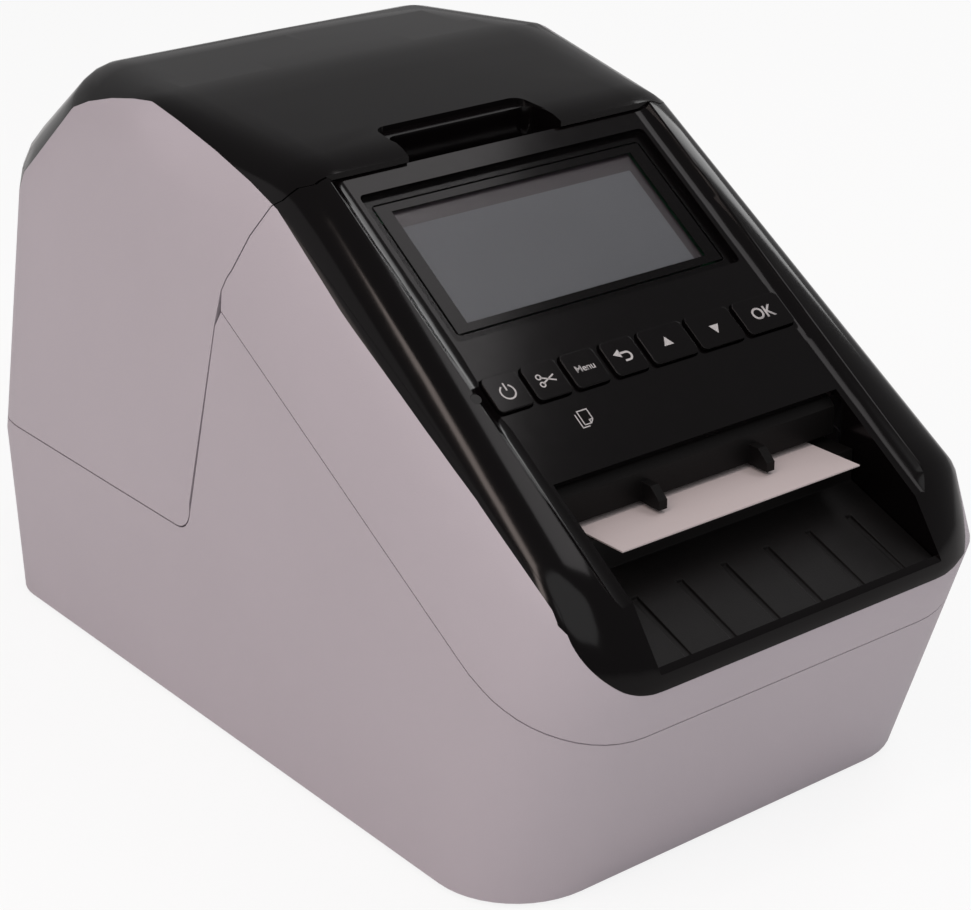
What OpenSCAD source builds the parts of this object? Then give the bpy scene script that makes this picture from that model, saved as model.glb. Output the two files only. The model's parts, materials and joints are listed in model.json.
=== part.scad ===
// Desktop label printer with a display, seven keys and a lift-up roll cover.
// Millimetres. X to the right, Y to the back, Z up. Origin under the middle of the body,
// on the surface that the rubber feet stand on.

/* [Body] */
// Overall width
body_w = 125.3; // [118:0.1:134]
// Overall depth
body_d = 234; // [222:1:250]
// Overall height
body_h = 145; // [138:1:154]
// Wall of the white mouldings
wall = 2.4; // [2:0.1:2.8]
// Thickness of the black cover skin
skin_t = 2; // [1.6:0.1:2.4]
// Thickness of the cover's inner frame under the skin
frame_t = 1.6; // [1.4:0.1:2]
// Height of the rubber feet below the case
foot_h = 1.2; // [0.8:0.1:2]
// Open line between two mouldings
seam_gap = 0.4; // [0.3:0.05:0.6]
// Height of the level seam between cover and lower case
seam_z = 48.5; // [46:0.5:51]
// White side beside the black centre band
side_w = 8.25; // [7:0.05:9.5]

/* [Panel] */
// How deep the panel lies below the black side rails
panel_sink = 1.7; // [1:0.1:2]
// Thickness of the panel moulding
panel_t = 2.2; // [2:0.1:2.6]
// Width of each black side rail
rail_w = 12.4; // [11.5:0.1:13]
// Panel left beside the display window
lens_in = 3; // [2.5:0.1:5]
// Length of the display window along the slope
lens_l = 40; // [36:0.5:41]
// Thickness of the display window
lens_t = 1.2; // [1:0.1:1.4]
// Length of a key along the slope
key_l = 8.8; // [7:0.1:9.4]
// Height of a key above the panel
key_rise = 0.9; // [0.7:0.1:1.2]
// Travel of a key
key_travel = 0.6; // [0.4:0.1:0.6]

/* [Label] */
// Width of the label tape
label_w = 66; // [62:0.5:67]
// Thickness of the label with its backing
label_t = 0.3; // [0.2:0.05:0.4]
// Height of the tape path
tape_z = 77; // [76:0.5:78]
// Outer diameter of the roll
roll_d = 78; // [60:1:80]
// Diameter of the roll's core
core_d = 38; // [30:1:40]

/* [Feed and cutter] */
// Diameter of the platen roller
platen_d = 14; // [12:0.5:14.5]
// Diameter of the platen shaft and the idler's stud
shaft_d = 5; // [4:0.5:6]
// Tooth module of the gears
gear_module = 0.8; // [0.7:0.05:0.8]
// Face width of the gears
gear_face = 5; // [4:0.5:5.5]
// Upward stroke of the moving blade
blade_stroke = 4; // [3.5:0.1:4.5]
// Thickness of the blades
blade_t = 1; // [0.8:0.1:1.2]
// Diameter of the feed motor
motor_d = 34; // [28:1:35]
// Length of the feed motor
motor_l = 20; // [16:1:22]
// Diameter of the cutter motor
cutter_motor_d = 20; // [16:1:22]
// Length of the cutter motor
cutter_motor_l = 18; // [14:1:20]

/* [Case fittings] */
// Diameter of the hinge pins
hinge_pin_d = 4; // [3:0.5:5]
// Diameter of a rubber foot
rubber_foot_d = 11; // [8:0.5:13]
// Diameter of a screw head
screw_head_d = 5; // [4:0.5:6]
// Sheet thickness of the metal chassis
sheet_t = 1.5; // [1.2:0.1:1.8]
// Thickness of the circuit boards
board_t = 1.6; // [1.2:0.1:1.8]

/* [Hidden] */

// Facets, clearances and one overrun for the cuts
round_fn = 28;
fine_fn = 48;
over = 1;
slip = 0.2;
run_gap = 0.05;
half_w = body_w / 2;
half_d = body_d / 2;
black_half = half_w - side_w;
panel_half = black_half - rail_w;
lens_w = 2 * (panel_half - lens_in);
function yy(share) = share * half_d;
function zz(share) = share * body_h;
function side_points(rows) = [for (row = rows) [yy(row[0]), zz(row[1])]];

// Colours
white_shell = [0.80, 0.77, 0.77];
gloss_black = [0.06, 0.055, 0.06];
matte_black = [0.10, 0.10, 0.10];
steel = [0.66, 0.67, 0.69];
brass = [0.80, 0.70, 0.40];
acetal = [0.85, 0.84, 0.78];
board_green = [0.10, 0.33, 0.20];

module box(x0, x1, y0, y1, z0, z1) {
    translate([x0, y0, z0]) cube([x1 - x0, y1 - y0, z1 - z0]);
}

module rod(x0, x1, y, z, d) {
    translate([x0, y, z]) rotate([0, 90, 0]) cylinder(d = d, h = x1 - x0, $fn = fine_fn);
}

// A rod along Y, from y0 to y1
module rod_back(x, y0, y1, z, d) {
    translate([x, y1, z]) rotate([90, 0, 0]) cylinder(d = d, h = y1 - y0, $fn = fine_fn);
}

// A side view outline of [y, z] points pushed from one X position to another
module across(x0, x1, points) {
    translate([x0, 0, 0]) rotate([90, 0, 90]) linear_extrude(x1 - x0) polygon(points);
}

// The same as a slab of thickness t, with its middle at x on both sides of the part
module pair_across(x, t, points) {
    for (side = [-1, 1]) across(side * x - t / 2, side * x + t / 2, points);
}

module rounded_plate(w, l, t, r) {
    linear_extrude(t) union() {
        square([w - 2 * r, l], center = true);
        square([w, l - 2 * r], center = true);
        for (sx = [-1, 1], sy = [-1, 1])
            translate([sx * (w / 2 - r), sy * (l / 2 - r)]) circle(r = r, $fn = round_fn);
    }
}

// The rounded body: one convex form over corner posts and shoulder balls.
// Radii of the posts are shares of half the width, places are shares of half the depth and
// of the height. The foot of the front sits behind the nose.
front_foot_in_share = 0.188;
front_foot_r_share = 0.335;
rear_foot_r_share = 0.26;
nose_post_r_share = 0.40;
waist_r_share = 0.225;
nose_z_share = 0.403;
waist_z_share = 0.31;
// Shoulder rows: y, z, radius as a share of the height, half width as a share
nose_row_shares = [-0.8376, 0.4724, 0.069, 0.935];
brow_row_shares = [-0.0855, 0.8731, 0.0862, 0.8875];
crown_row_shares = [0.3077, 0.9393, 0.0579, 0.957];
rear_top_row_shares = [0.5897, 0.8938, 0.1034, 0.894];
rear_row_shares = [0.7949, 0.7276, 0.165, 0.91];
// Balls on the centre line: y, z of their top, radius
ridge_row_shares = [[0.3077, 1, 0.0552], [0.5897, 1, 0.0552]];
post_rise = 0.05;

module shoulder_balls(row, inset) {
    r = zz(row[2]);
    for (side = [-1, 1])
        translate([side * (row[3] * half_w - r), yy(row[0]), zz(row[1])])
            sphere(r = r - inset, $fn = round_fn);
}

module corner_posts(y, r, z, inset) {
    for (side = [-1, 1])
        translate([side * (half_w - r), y, z])
            cylinder(r = r - inset, h = post_rise, $fn = fine_fn);
}

module body_form(inset) {
    front_r = front_foot_r_share * half_w;
    rear_r = rear_foot_r_share * half_w;
    nose_post_r = nose_post_r_share * half_w;
    waist_r = waist_r_share * half_w;
    hull() {
        corner_posts(-half_d + yy(front_foot_in_share) + front_r, front_r, foot_h + inset, inset);
        corner_posts(half_d - rear_r, rear_r, foot_h + inset, inset);
        corner_posts(-half_d + nose_post_r, nose_post_r, zz(nose_z_share), inset);
        corner_posts(half_d - waist_r, waist_r, zz(waist_z_share), inset);
        shoulder_balls(nose_row_shares, inset);
        shoulder_balls(brow_row_shares, inset);
        shoulder_balls(crown_row_shares, inset);
        shoulder_balls(rear_top_row_shares, inset);
        shoulder_balls(rear_row_shares, inset);
        for (row = ridge_row_shares)
            translate([0, yy(row[0]), zz(row[1] - row[2])])
                sphere(r = zz(row[2]) - inset, $fn = round_fn);
    }
}

// The slope of the panel touches the brow and nose balls.
nose_c = [yy(nose_row_shares[0]), zz(nose_row_shares[1])];
brow_c = [yy(brow_row_shares[0]), zz(brow_row_shares[1])];
nose_r = zz(nose_row_shares[2]);
brow_r = zz(brow_row_shares[2]);
slope_l = norm(brow_c - nose_c);
slope_a = atan2(brow_c[1] - nose_c[1], brow_c[0] - nose_c[0]) + asin((brow_r - nose_r) / slope_l);
slope_top = brow_c + brow_r * [-sin(slope_a), cos(slope_a)];
panel_z = -panel_sink;
panel_low = panel_z - panel_t;
// A place on the slope, v along it and z out of it, as [y, z] of the part
function slope_point(v, z) = slope_top + v * [cos(slope_a), sin(slope_a)] + z * [-sin(slope_a), cos(slope_a)];

// Children lie in the slope's own frame: Y up the slope, Z out of it, zero at its top.
module on_slope() {
    translate([0, slope_top[0], slope_top[1]]) rotate([slope_a, 0, 0]) children();
}

// Seams, in side view. The cover's front edge runs down a curve, then back and down to the
// level seam with a round corner.
edge_row_shares = [[-0.141, 0.938], [-0.1248, 0.9338], [-0.1103, 0.9166], [-0.0906, 0.9069],
    [-0.0496, 0.8579], [-0.0188, 0.8021], [0.012, 0.7655], [0.0393, 0.7048], [0.1547, 0.3834]];
edge_corner_r = 6;
edge_steps = 6;
edge_a0 = 188;
edge_turn_a = 82;
edge_line = side_points(edge_row_shares);
edge_top_y = edge_line[0][0];
function edge_corner(r) = [for (k = [0:edge_steps]) let (a = edge_a0 + edge_turn_a * k / edge_steps)
    [edge_line[8][0] + edge_corner_r + r * cos(a), seam_z + edge_corner_r + r * sin(a)]];
cover_side = concat([[edge_top_y, body_h + over]], edge_line, edge_corner(edge_corner_r),
    [[half_d + over, seam_z], [half_d + over, body_h + over]]);

bezel_row_shares = [[0.0137, 0.7338], [-0.735, 0.3828], [-0.8205, 0.3552], [-0.8974, 0.3262], [-0.953, 0.3028]];
bezel_seam = side_points(bezel_row_shares);
bezel_front_z = bezel_seam[4][1];
case_side = concat(
    [[half_d + over, -over], [half_d + over, seam_z - seam_gap]],
    [for (k = [edge_steps:-1:0]) edge_corner(edge_corner_r + seam_gap)[k]],
    [edge_line[7] - [seam_gap, 0]],
    [for (k = [0:4]) bezel_seam[k] - [0, seam_gap]],
    [[-half_d - over, bezel_front_z - seam_gap], [-half_d - over, -over]]);
front_side = concat(
    [[-half_d - over, bezel_front_z]],
    [for (k = [4:-1:0]) bezel_seam[k]],
    [for (k = [6:-1:0]) edge_line[k] - [seam_gap, 0]],
    [[edge_top_y - seam_gap, body_h + over], [-half_d - over, body_h + over]]);

// The outline of the black front, seen from the front
black_foot_z = 55.8;
black_corner_r = 15;
module black_front(grow) {
    r = black_corner_r + grow;
    half = black_half + grow;
    rotate([90, 0, 0]) linear_extrude(2 * body_d, center = true) union() {
        for (side = [-1, 1])
            translate([side * (half - r), black_foot_z - grow + r]) circle(r = r, $fn = fine_fn);
        translate([-half + r, black_foot_z - grow]) square([2 * (half - r), body_h]);
        translate([-half, black_foot_z - grow + r]) square([2 * half, body_h]);
    }
}

// Hinge of the cover: the case's barrel fills the rear seam and the cover turns clear of it.
hinge_in = 5;
hinge_y = half_d - hinge_in;
hinge_z = seam_z + hinge_pin_d / 2;
barrel_r = 6.1;
barrel_half = 46;
lid_t = skin_t + run_gap + frame_t;
barrel_end = half_w - lid_t - 2 * seam_gap;
relief_r = barrel_r + seam_gap;
knuckle_r = hinge_in - run_gap;
knuckle_x = 38;
knuckle_w = 8;
pin_out = 5;
module knuckle_rods(r, gap) {
    for (side = [-1, 1])
        rod(side * knuckle_x - knuckle_w / 2 - gap, side * knuckle_x + knuckle_w / 2 + gap, hinge_y, hinge_z, 2 * r);
}
module pin_rods(d) {
    for (side = [-1, 1])
        rod(side * knuckle_x - knuckle_w / 2 - pin_out, side * knuckle_x + knuckle_w / 2 + pin_out,
            hinge_y, hinge_z, d);
}

// Lower case with its floor opening, screw bosses, hinge barrel and rear sockets
plate_t = 1.2;
plate_half = 50;
plate_y0 = -72;
plate_y1 = 100;
plate_rim = 7;
boss_d = 8;
boss_h = 9;
boss_x = plate_half - plate_rim / 2;
boss_in = 6;
floor_z = foot_h + wall;
screw_d = 2.6;
boss_places = [[-boss_x, plate_y0 + boss_in], [boss_x, plate_y0 + boss_in],
    [-boss_x, plate_y1 - boss_in], [boss_x, plate_y1 - boss_in]];
inlet_x = -36;
inlet_w = 17;
inlet_h = 10.4;
socket_z = 9.4;
network_x = 14;
network_w = 16.2;
network_h = 13.4;
usb_b_x = 34;
usb_b_w = 12.2;
usb_b_h = 10.8;
usb_a_x = -8;
usb_a_w = 14.4;
usb_a_h = 7.2;
port_l = 16;
module socket_hole(x, w, h) {
    box(x - w / 2 - slip, x + w / 2 + slip, half_d - 3 * wall, half_d + over,
        socket_z - slip, socket_z + h + slip);
}
module screw_holes(d, z) {
    for (p = boss_places) translate([p[0], p[1], -over]) cylinder(d = d, h = z + over, $fn = fine_fn);
}
module lower_case() {
    color(white_shell) difference() {
        intersection() {
            body_form(0);
            union() {
                across(-half_w - over, half_w + over, case_side);
                rod(-barrel_end, barrel_end, hinge_y, hinge_z, 2 * barrel_r);
            }
        }
        difference() {
            body_form(wall);
            rod(-barrel_half, barrel_half, hinge_y, hinge_z, 2 * barrel_r);
            for (p = boss_places)
                translate([p[0], p[1], 0]) cylinder(d = boss_d, h = foot_h + plate_t + boss_h, $fn = fine_fn);
        }
        box(-plate_half + plate_rim, plate_half - plate_rim, plate_y0 + plate_rim, plate_y1 - plate_rim,
            -over, floor_z + over);
        box(-plate_half - slip, plate_half + slip, plate_y0 - slip, plate_y1 + slip, -over, foot_h + plate_t);
        screw_holes(screw_d + 2 * run_gap, foot_h + boss_h);
        knuckle_rods(relief_r, slip);
        pin_rods(hinge_pin_d + 2 * run_gap);
        socket_hole(inlet_x, inlet_w, inlet_h);
        socket_hole(network_x, network_w, network_h);
        socket_hole(usb_b_x, usb_b_w, usb_b_h);
        socket_hole(usb_a_x, usb_a_w, usb_a_h);
    }
}

module base_plate() {
    color(matte_black) difference() {
        union() {
            box(-plate_half, plate_half, plate_y0, plate_y1, foot_h, foot_h + plate_t);
            box(-plate_half + plate_rim + slip, plate_half - plate_rim - slip,
                plate_y0 + plate_rim + slip, plate_y1 - plate_rim - slip, foot_h, floor_z);
        }
        screw_holes(screw_d + 2 * run_gap, foot_h + boss_h);
    }
}

head_h = 0.9;
module base_screws() {
    color(steel) for (p = boss_places) translate([p[0], p[1], foot_h - head_h]) {
        cylinder(d = screw_head_d, h = head_h, $fn = fine_fn);
        cylinder(d = screw_d, h = head_h + boss_h - slip, $fn = fine_fn);
    }
}

foot_x = 46;
foot_front_y = -80;
foot_rear_y = 106;
module rubber_feet() {
    color(matte_black) for (side = [-1, 1], y = [foot_front_y, foot_rear_y])
        translate([side * foot_x, y, 0]) cylinder(d = rubber_foot_d, h = foot_h, $fn = fine_fn);
}

module front_bezel() {
    color(white_shell) difference() {
        intersection() {
            difference() {
                body_form(0);
                body_form(wall);
            }
            across(-half_w - over, half_w + over, front_side);
        }
        black_front(run_gap);
    }
}

// The black front: rails that follow the body, a sunk panel and the recess between the rails
rail_t = 2.4;
recess_in = 2.8;
recess_half = panel_half - recess_in;
recess_wall_t = 2;
flank_run = 4;
exit_v_share = -0.78;
exit_v = exit_v_share * slope_l;
exit_y = slope_point(exit_v, panel_z)[0];
exit_low = slope_point(exit_v, panel_low);
tray_rear_shares = [-0.766, 0.479];
tray_front_shares = [-0.9795, 0.411];
tray_rear = [yy(tray_rear_shares[0]), zz(tray_rear_shares[1])];
tray_front = [yy(tray_front_shares[0]), zz(tray_front_shares[1])];
tray_t = 2;
rim_drop = 1.2;
panel_top_v = -seam_gap;
lens_v_share = -0.238;
lens_v = lens_v_share * slope_l;
lens_drop = 0.3;
lens_ledge = 2;
key_v_share = -0.567;
key_v = key_v_share * slope_l;
key_x_shares = [-0.862, -0.621, -0.379, -0.126, 0.160, 0.481, 0.817];
key_w_shares = [0.2095, 0.2095, 0.2095, 0.2095, 0.2905, 0.2905, 0.3143];
key_ws = [for (share = key_w_shares) share * panel_half];
key_gap = 0.25;
key_r = 1.2;
lamp_d = 2.4;
lamp_out = 2.5;
lamp_x = panel_half + lamp_out;
lamp_low = 0.1;
function key_x(k) = key_x_shares[k] * panel_half;

// What is above the sunk panel goes, with a sloping flank up to each rail.
module rail_flanks() {
    on_slope() rotate([90, 0, 0]) linear_extrude(4 * slope_l, center = true)
        polygon([[-panel_half, panel_z], [panel_half, panel_z], [panel_half + flank_run, over],
            [panel_half + flank_run, body_h], [-panel_half - flank_run, body_h], [-panel_half - flank_run, over]]);
}

module panel_slab() {
    on_slope() box(-panel_half - rail_t, panel_half + rail_t, exit_v, panel_top_v, panel_low, panel_z);
}

module recess_walls() {
    pair_across(recess_half + recess_wall_t / 2, recess_wall_t,
        [[-half_d - over, black_foot_z + tray_t], [tray_rear[0] + 2 * tray_t, black_foot_z + tray_t],
        [tray_rear[0] + 2 * tray_t, exit_low[1]], exit_low, slope_point(exit_v, panel_z),
        slope_point(exit_v, body_h), [-half_d - over, body_h]]);
}

module recess_opening() {
    across(-recess_half, recess_half, [[-half_d - over, tray_front[1] - rim_drop],
        tray_front + [-slip, tray_t / 2], tray_front + [-slip, -2 * tray_t], tray_front + [2 * tray_t, -2 * tray_t],
        [exit_y, tray_rear[1]], exit_low,
        slope_point(exit_v, panel_z), slope_point(exit_v, body_h), [-half_d - over, body_h]]);
}

module front_panel() {
    color(gloss_black) difference() {
        intersection() {
            body_form(0);
            across(-half_w, half_w, front_side);
            black_front(0);
        }
        difference() {
            body_form(rail_t);
            panel_slab();
            recess_walls();
        }
        recess_opening();
        rail_flanks();
        on_slope() translate([0, lens_v, 0]) {
            translate([0, 0, panel_z - lens_drop - lens_t - run_gap])
                rounded_plate(lens_w + 2 * slip, lens_l + 2 * slip, body_h, key_r);
            translate([0, 0, panel_low - over])
                rounded_plate(lens_w - 2 * lens_ledge, lens_l - 2 * lens_ledge, body_h, key_r);
        }
        on_slope() for (k = [0:6]) translate([key_x(k), key_v, panel_low - over])
            rounded_plate(key_ws[k] + 2 * key_gap, key_l + 2 * key_gap, body_h, key_r + key_gap);
        on_slope() translate([-lamp_x, key_v, panel_low])
            cylinder(d = lamp_d + 2 * run_gap, h = body_h, $fn = round_fn);
    }
}

module display_lens() {
    color(gloss_black) on_slope() translate([0, lens_v, panel_z - lens_drop - lens_t])
        rounded_plate(lens_w, lens_l, lens_t, key_r);
}

lcd_half = 33;
lcd_l = 32;
lcd_t = 4.4;
lcd_z = panel_low - slip;
board_z = lcd_z - lcd_t - run_gap;
module lcd_module() {
    color([0.16, 0.17, 0.20]) on_slope()
        box(-lcd_half, lcd_half, lens_v - lcd_l / 2, lens_v + lcd_l / 2, lcd_z - lcd_t, lcd_z);
}

switch_w = 5;
switch_h = 1.6;
control_half = 43;
control_in = 2;
control_v0 = key_v - key_l - control_in;
control_v1 = lens_v + lens_l / 2;
post_d = 4;
module control_board() {
    color(board_green) on_slope() {
        box(-control_half, control_half, control_v0, control_v1, board_z - board_t, board_z);
        for (k = [0:6]) translate([key_x(k), key_v, board_z])
            rounded_plate(switch_w, switch_w, switch_h, switch_w / 8);
        for (side = [-1, 1], v = [control_v0 + post_d / 2, control_v1 - post_d / 2])
            translate([side * (control_half - post_d / 2), v, board_z - board_t])
                cylinder(d = post_d, h = panel_low - board_z + board_t, $fn = round_fn);
    }
}

module status_lamp() {
    color([0.75, 0.78, 0.72]) on_slope() translate([-lamp_x, key_v, panel_low])
        cylinder(d = lamp_d, h = -panel_low - lamp_low, $fn = round_fn);
}

// A key: cap, hidden flange under the panel and a foot over its switch
flange_out = 0.5;
flange_t = 0.8;
flange_gap = 0.1;
flange_low = panel_low - flange_gap - flange_t;
key_foot_z = board_z + switch_h + key_travel + run_gap;
module key(k) {
    w = key_ws[k];
    color(gloss_black) on_slope() translate([key_x(k), key_v, 0]) {
        translate([0, 0, flange_low]) rounded_plate(w, key_l, panel_z + key_rise - flange_low, key_r);
        translate([0, 0, flange_low])
            rounded_plate(w + 2 * flange_out, key_l + 2 * flange_out, flange_t, key_r);
        translate([0, 0, key_foot_z]) cylinder(d = switch_w / 2, h = flange_low - key_foot_z, $fn = round_fn);
    }
}
module power_key() key(0);
module cut_key() key(1);
module menu_key() key(2);
module back_key() key(3);
module up_key() key(4);
module down_key() key(5);
module ok_key() key(6);

// Wall behind the label's way out, with two ribs that press the label flat
guide_t = 2;
guide_gap = 1.4;
rib_x = 15;
rib_w = 2.2;
rib_run = 5.5;
rib_gap = 1;
guide_top_z = exit_low[1] - run_gap;
guide_foot_z = tape_z + guide_gap;
module exit_guide() {
    color(matte_black) {
        across(-recess_half + slip, recess_half - slip, [[exit_y, guide_foot_z], [exit_y, guide_top_z - guide_t],
            [exit_y + guide_t, guide_top_z], [exit_y + 2 * guide_t, guide_top_z], [exit_y + guide_t, guide_foot_z]]);
        pair_across(rib_x, rib_w, [[exit_y + guide_t / 2, guide_top_z - 2 * guide_t],
            [exit_y - rib_run / 2, tape_z + rib_run], [exit_y - rib_run, tape_z + rib_gap + guide_t],
            [exit_y - rib_run, tape_z + rib_gap], [exit_y - rib_run / 2, tape_z + rib_gap],
            [exit_y + guide_t / 2, guide_foot_z]]);
    }
}

// The tray below the label, with grooves along the way out
groove_count = 6;
groove_w = 1.6;
groove_d = 0.8;
groove_pitch = 12;
label_front_share = -0.833;
label_front_y = yy(label_front_share);
tray_rise = (tray_rear[1] - tray_front[1]) / (tray_rear[0] - tray_front[0]);
function tray_z(y) = tray_front[1] + tray_rise * (y - tray_front[0]);
shelf_z = tape_z - label_t;
shelf_y = exit_y + guide_t + tray_t;
module output_tray() {
    color(matte_black) difference() {
        across(-recess_half + slip, recess_half - slip, [tray_front, tray_rear, [tray_rear[0], shelf_z],
            [shelf_y, shelf_z], [shelf_y, shelf_z - tray_t], [tray_rear[0] + tray_t, shelf_z - tray_t],
            [tray_rear[0] + tray_t, tray_rear[1] - tray_t], [tray_front[0] + tray_t / 2, tray_front[1] - tray_t]]);
        for (k = [0:groove_count - 1]) {
            x = (k - (groove_count - 1) / 2) * groove_pitch;
            across(x - groove_w / 2, x + groove_w / 2, [
                tray_front + [-over, groove_d], tray_front + [-over, -groove_d],
                [label_front_y, tray_z(label_front_y) - groove_d],
                [label_front_y, tray_z(label_front_y) + groove_d]]);
        }
    }
}

// Cover: white sides on an inner frame, and a black skin with a finger pocket over the frame
notch_x = -2.4;
notch_half = 22.4;
notch_taper = 2.2;
notch_run = 14.2;
notch_drop = 15;
notch_wall = 1.6;
notch_r = 3;
ledge_w = 4.3;
ledge_drop = 6;
skin_foot_z = hinge_z + 2 * barrel_r;
// The finger pocket: narrower at the back, with rounded corners and a ledge along its back wall.
function notch_corner(side, back_y, grow) = [for (a = [0:15:90])
    [notch_x + side * (notch_half - notch_taper - notch_r + (notch_r + grow) * sin(side < 0 ? 90 - a : a)),
    back_y - notch_r + (notch_r + grow) * cos(side < 0 ? 90 - a : a)]];
module notch_step(back_y, drop, grow) {
    translate([0, 0, body_h - drop - grow]) linear_extrude(drop + grow + over)
        polygon(concat([[notch_x - notch_half - grow, edge_top_y - notch_run]], notch_corner(-1, back_y, grow),
            notch_corner(1, back_y, grow), [[notch_x + notch_half + grow, edge_top_y - notch_run]]));
}
module notch_block(grow) {
    notch_step(edge_top_y + notch_run - ledge_w, notch_drop, grow);
    notch_step(edge_top_y + notch_run, ledge_drop, grow);
}
module cover_shell() {
    color(white_shell) difference() {
        union() {
            intersection() {
                difference() {
                    body_form(0);
                    body_form(lid_t);
                }
                across(-half_w - over, half_w + over, cover_side);
                union() {
                    difference() {
                        box(-half_w, half_w, edge_top_y, half_d, seam_z, body_h);
                        rod(-barrel_end - seam_gap, barrel_end + seam_gap, hinge_y, hinge_z, 2 * relief_r);
                        box(-barrel_end - seam_gap, barrel_end + seam_gap, hinge_y, half_d + over, 0, hinge_z);
                    }
                    for (side = [-1, 1])
                        box(side * knuckle_x - knuckle_w / 2, side * knuckle_x + knuckle_w / 2,
                            hinge_y, half_d, hinge_z, hinge_z + 2 * relief_r);
                }
            }
            knuckle_rods(knuckle_r, 0);
        }
        difference() {
            box(-black_half - run_gap, black_half + run_gap, edge_top_y - over, half_d + over,
                skin_foot_z, body_h + over);
            body_form(skin_t + run_gap);
        }
        notch_block(notch_wall + run_gap);
        pin_rods(hinge_pin_d + 2 * run_gap);
    }
}
module cover_top() {
    color(gloss_black) difference() {
        intersection() {
            body_form(0);
            across(-black_half, black_half, cover_side);
            box(-half_w, half_w, edge_top_y - over, half_d + over, skin_foot_z + run_gap, body_h + over);
        }
        difference() {
            body_form(skin_t);
            notch_block(notch_wall);
        }
        notch_block(0);
    }
}
module hinge_pins() {
    color(steel) pin_rods(hinge_pin_d);
}

// Roll, its spool and the cradle that carries the spool's stubs
roll_y = 48;
roll_z = 72;
spool_gap = 1;
flange_w = 1.6;
stub_d = 12;
stub_bore = 6;
flange_rise = 10;
spool_flange_d = core_d + 2 * flange_rise;
roll_half = label_w / 2 + spool_gap;
stub_x = roll_half + flange_w;
cradle_t = 2;
cradle_gap = 2.5;
cradle_r = roll_d / 2 + cradle_gap;
arm_x = stub_x + spool_gap;
arm_w = 22;
arm_rise = 12;
module label_roll() {
    color([0.88, 0.86, 0.83]) difference() {
        rod(-label_w / 2, label_w / 2, roll_y, roll_z, roll_d);
        rod(-label_w, label_w, roll_y, roll_z, core_d + 2 * run_gap);
    }
}
module roll_spool() {
    color([0.25, 0.25, 0.26]) difference() {
        union() {
            rod(-arm_x - cradle_t, arm_x + cradle_t, roll_y, roll_z, stub_d);
            rod(-roll_half, roll_half, roll_y, roll_z, core_d);
            for (side = [-1, 1])
                rod(side * (roll_half + flange_w / 2) - flange_w / 2, side * (roll_half + flange_w / 2) + flange_w / 2,
                    roll_y, roll_z, spool_flange_d);
        }
        rod(-label_w, label_w, roll_y, roll_z, stub_bore);
    }
}
module roll_cradle() {
    color(matte_black) {
        difference() {
            rod(-arm_x - cradle_t, arm_x + cradle_t, roll_y, roll_z, 2 * (cradle_r + cradle_t));
            rod(-half_w, half_w, roll_y, roll_z, 2 * cradle_r);
            box(-half_w, half_w, roll_y - half_d, roll_y + half_d, roll_z - cradle_r / 2, body_h);
        }
        for (side = [-1, 1]) difference() {
            box(side * (arm_x + cradle_t / 2) - cradle_t / 2, side * (arm_x + cradle_t / 2) + cradle_t / 2,
                roll_y - arm_w / 2, roll_y + arm_w / 2, floor_z + run_gap, roll_z + arm_rise);
            rod(-half_w, half_w, roll_y, roll_z, stub_d + 2 * run_gap);
            box(-half_w, half_w, roll_y - stub_d / 2 - run_gap, roll_y + stub_d / 2 + run_gap, roll_z, body_h);
        }
    }
}

// Tape: from the top of the roll over the guide bar to the cutter, then the printed label
platen_share = -0.445;
cutter_share = -0.6;
guide_bar_share = -0.2;
platen_y = yy(platen_share);
cutter_y = yy(cutter_share);
bar_y = yy(guide_bar_share);
tape_top = tape_z + label_t / 2;
tape_low = tape_z - label_t / 2;
web_gap = 0.3;
cut_gap = 0.4;
web_r = roll_d / 2 + web_gap;
bar_away = [bar_y - roll_y, tape_z - roll_z];
web_a = atan2(bar_away[1], bar_away[0]) - acos(web_r / norm(bar_away));
function around_roll(r) = [roll_y + r * cos(web_a), roll_z + r * sin(web_a)];
module label_web() {
    color([0.93, 0.92, 0.90]) across(-label_w / 2, label_w / 2, [around_roll(web_r), around_roll(web_r + label_t),
        [bar_y, tape_top], [cutter_y + blade_t / 2 + cut_gap, tape_top],
        [cutter_y + blade_t / 2 + cut_gap, tape_low], [bar_y, tape_low]]);
}
module printed_label() {
    color(white_shell) box(-label_w / 2, label_w / 2, label_front_y, cutter_y - blade_t / 2 - cut_gap,
        tape_low, tape_top);
}

// Chassis: two side plates, a floor sheet, a guide sheet for the cutter and the guide bar
chassis_in = 5;
chassis_x = label_w / 2 + chassis_in;
chassis_in_share = -0.66;
chassis_out_share = -0.17;
chassis_y0 = yy(chassis_in_share);
chassis_y1 = yy(chassis_out_share);
chassis_top = 94;
chassis_step = 8;
bar_d = 3;
platen_z = tape_low - run_gap - platen_d / 2;
platen_half = label_w / 2 + spool_gap;
bush_d = 9;
bush_head_d = 11;
bush_head_t = 1;
pinion_teeth = 12;
idler_teeth = 24;
platen_teeth = 30;
mesh_gap = 0.1;
idler_a = -50;
pinion_a = -70;
gear_in = 1.2;
gear_x = chassis_x + sheet_t + gear_in;
motor_shaft_d = 2.5;
head_pivot_share = -0.27;
head_pivot_y = yy(head_pivot_share);
head_pivot_z = 90;
head_pivot_d = 4;
sheet_drop = 5;
function pitch_r(teeth) = gear_module * teeth / 2;
function toward(c, teeth_a, teeth_b, a) =
    c + (pitch_r(teeth_a) + pitch_r(teeth_b) + mesh_gap) * [cos(a), sin(a)];
idler_c = toward([platen_y, platen_z], platen_teeth, idler_teeth, idler_a);
pinion_c = toward(idler_c, idler_teeth, pinion_teeth, pinion_a);
cutter_pinion_x = -20;
cutter_pinion_z = 40;
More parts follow.
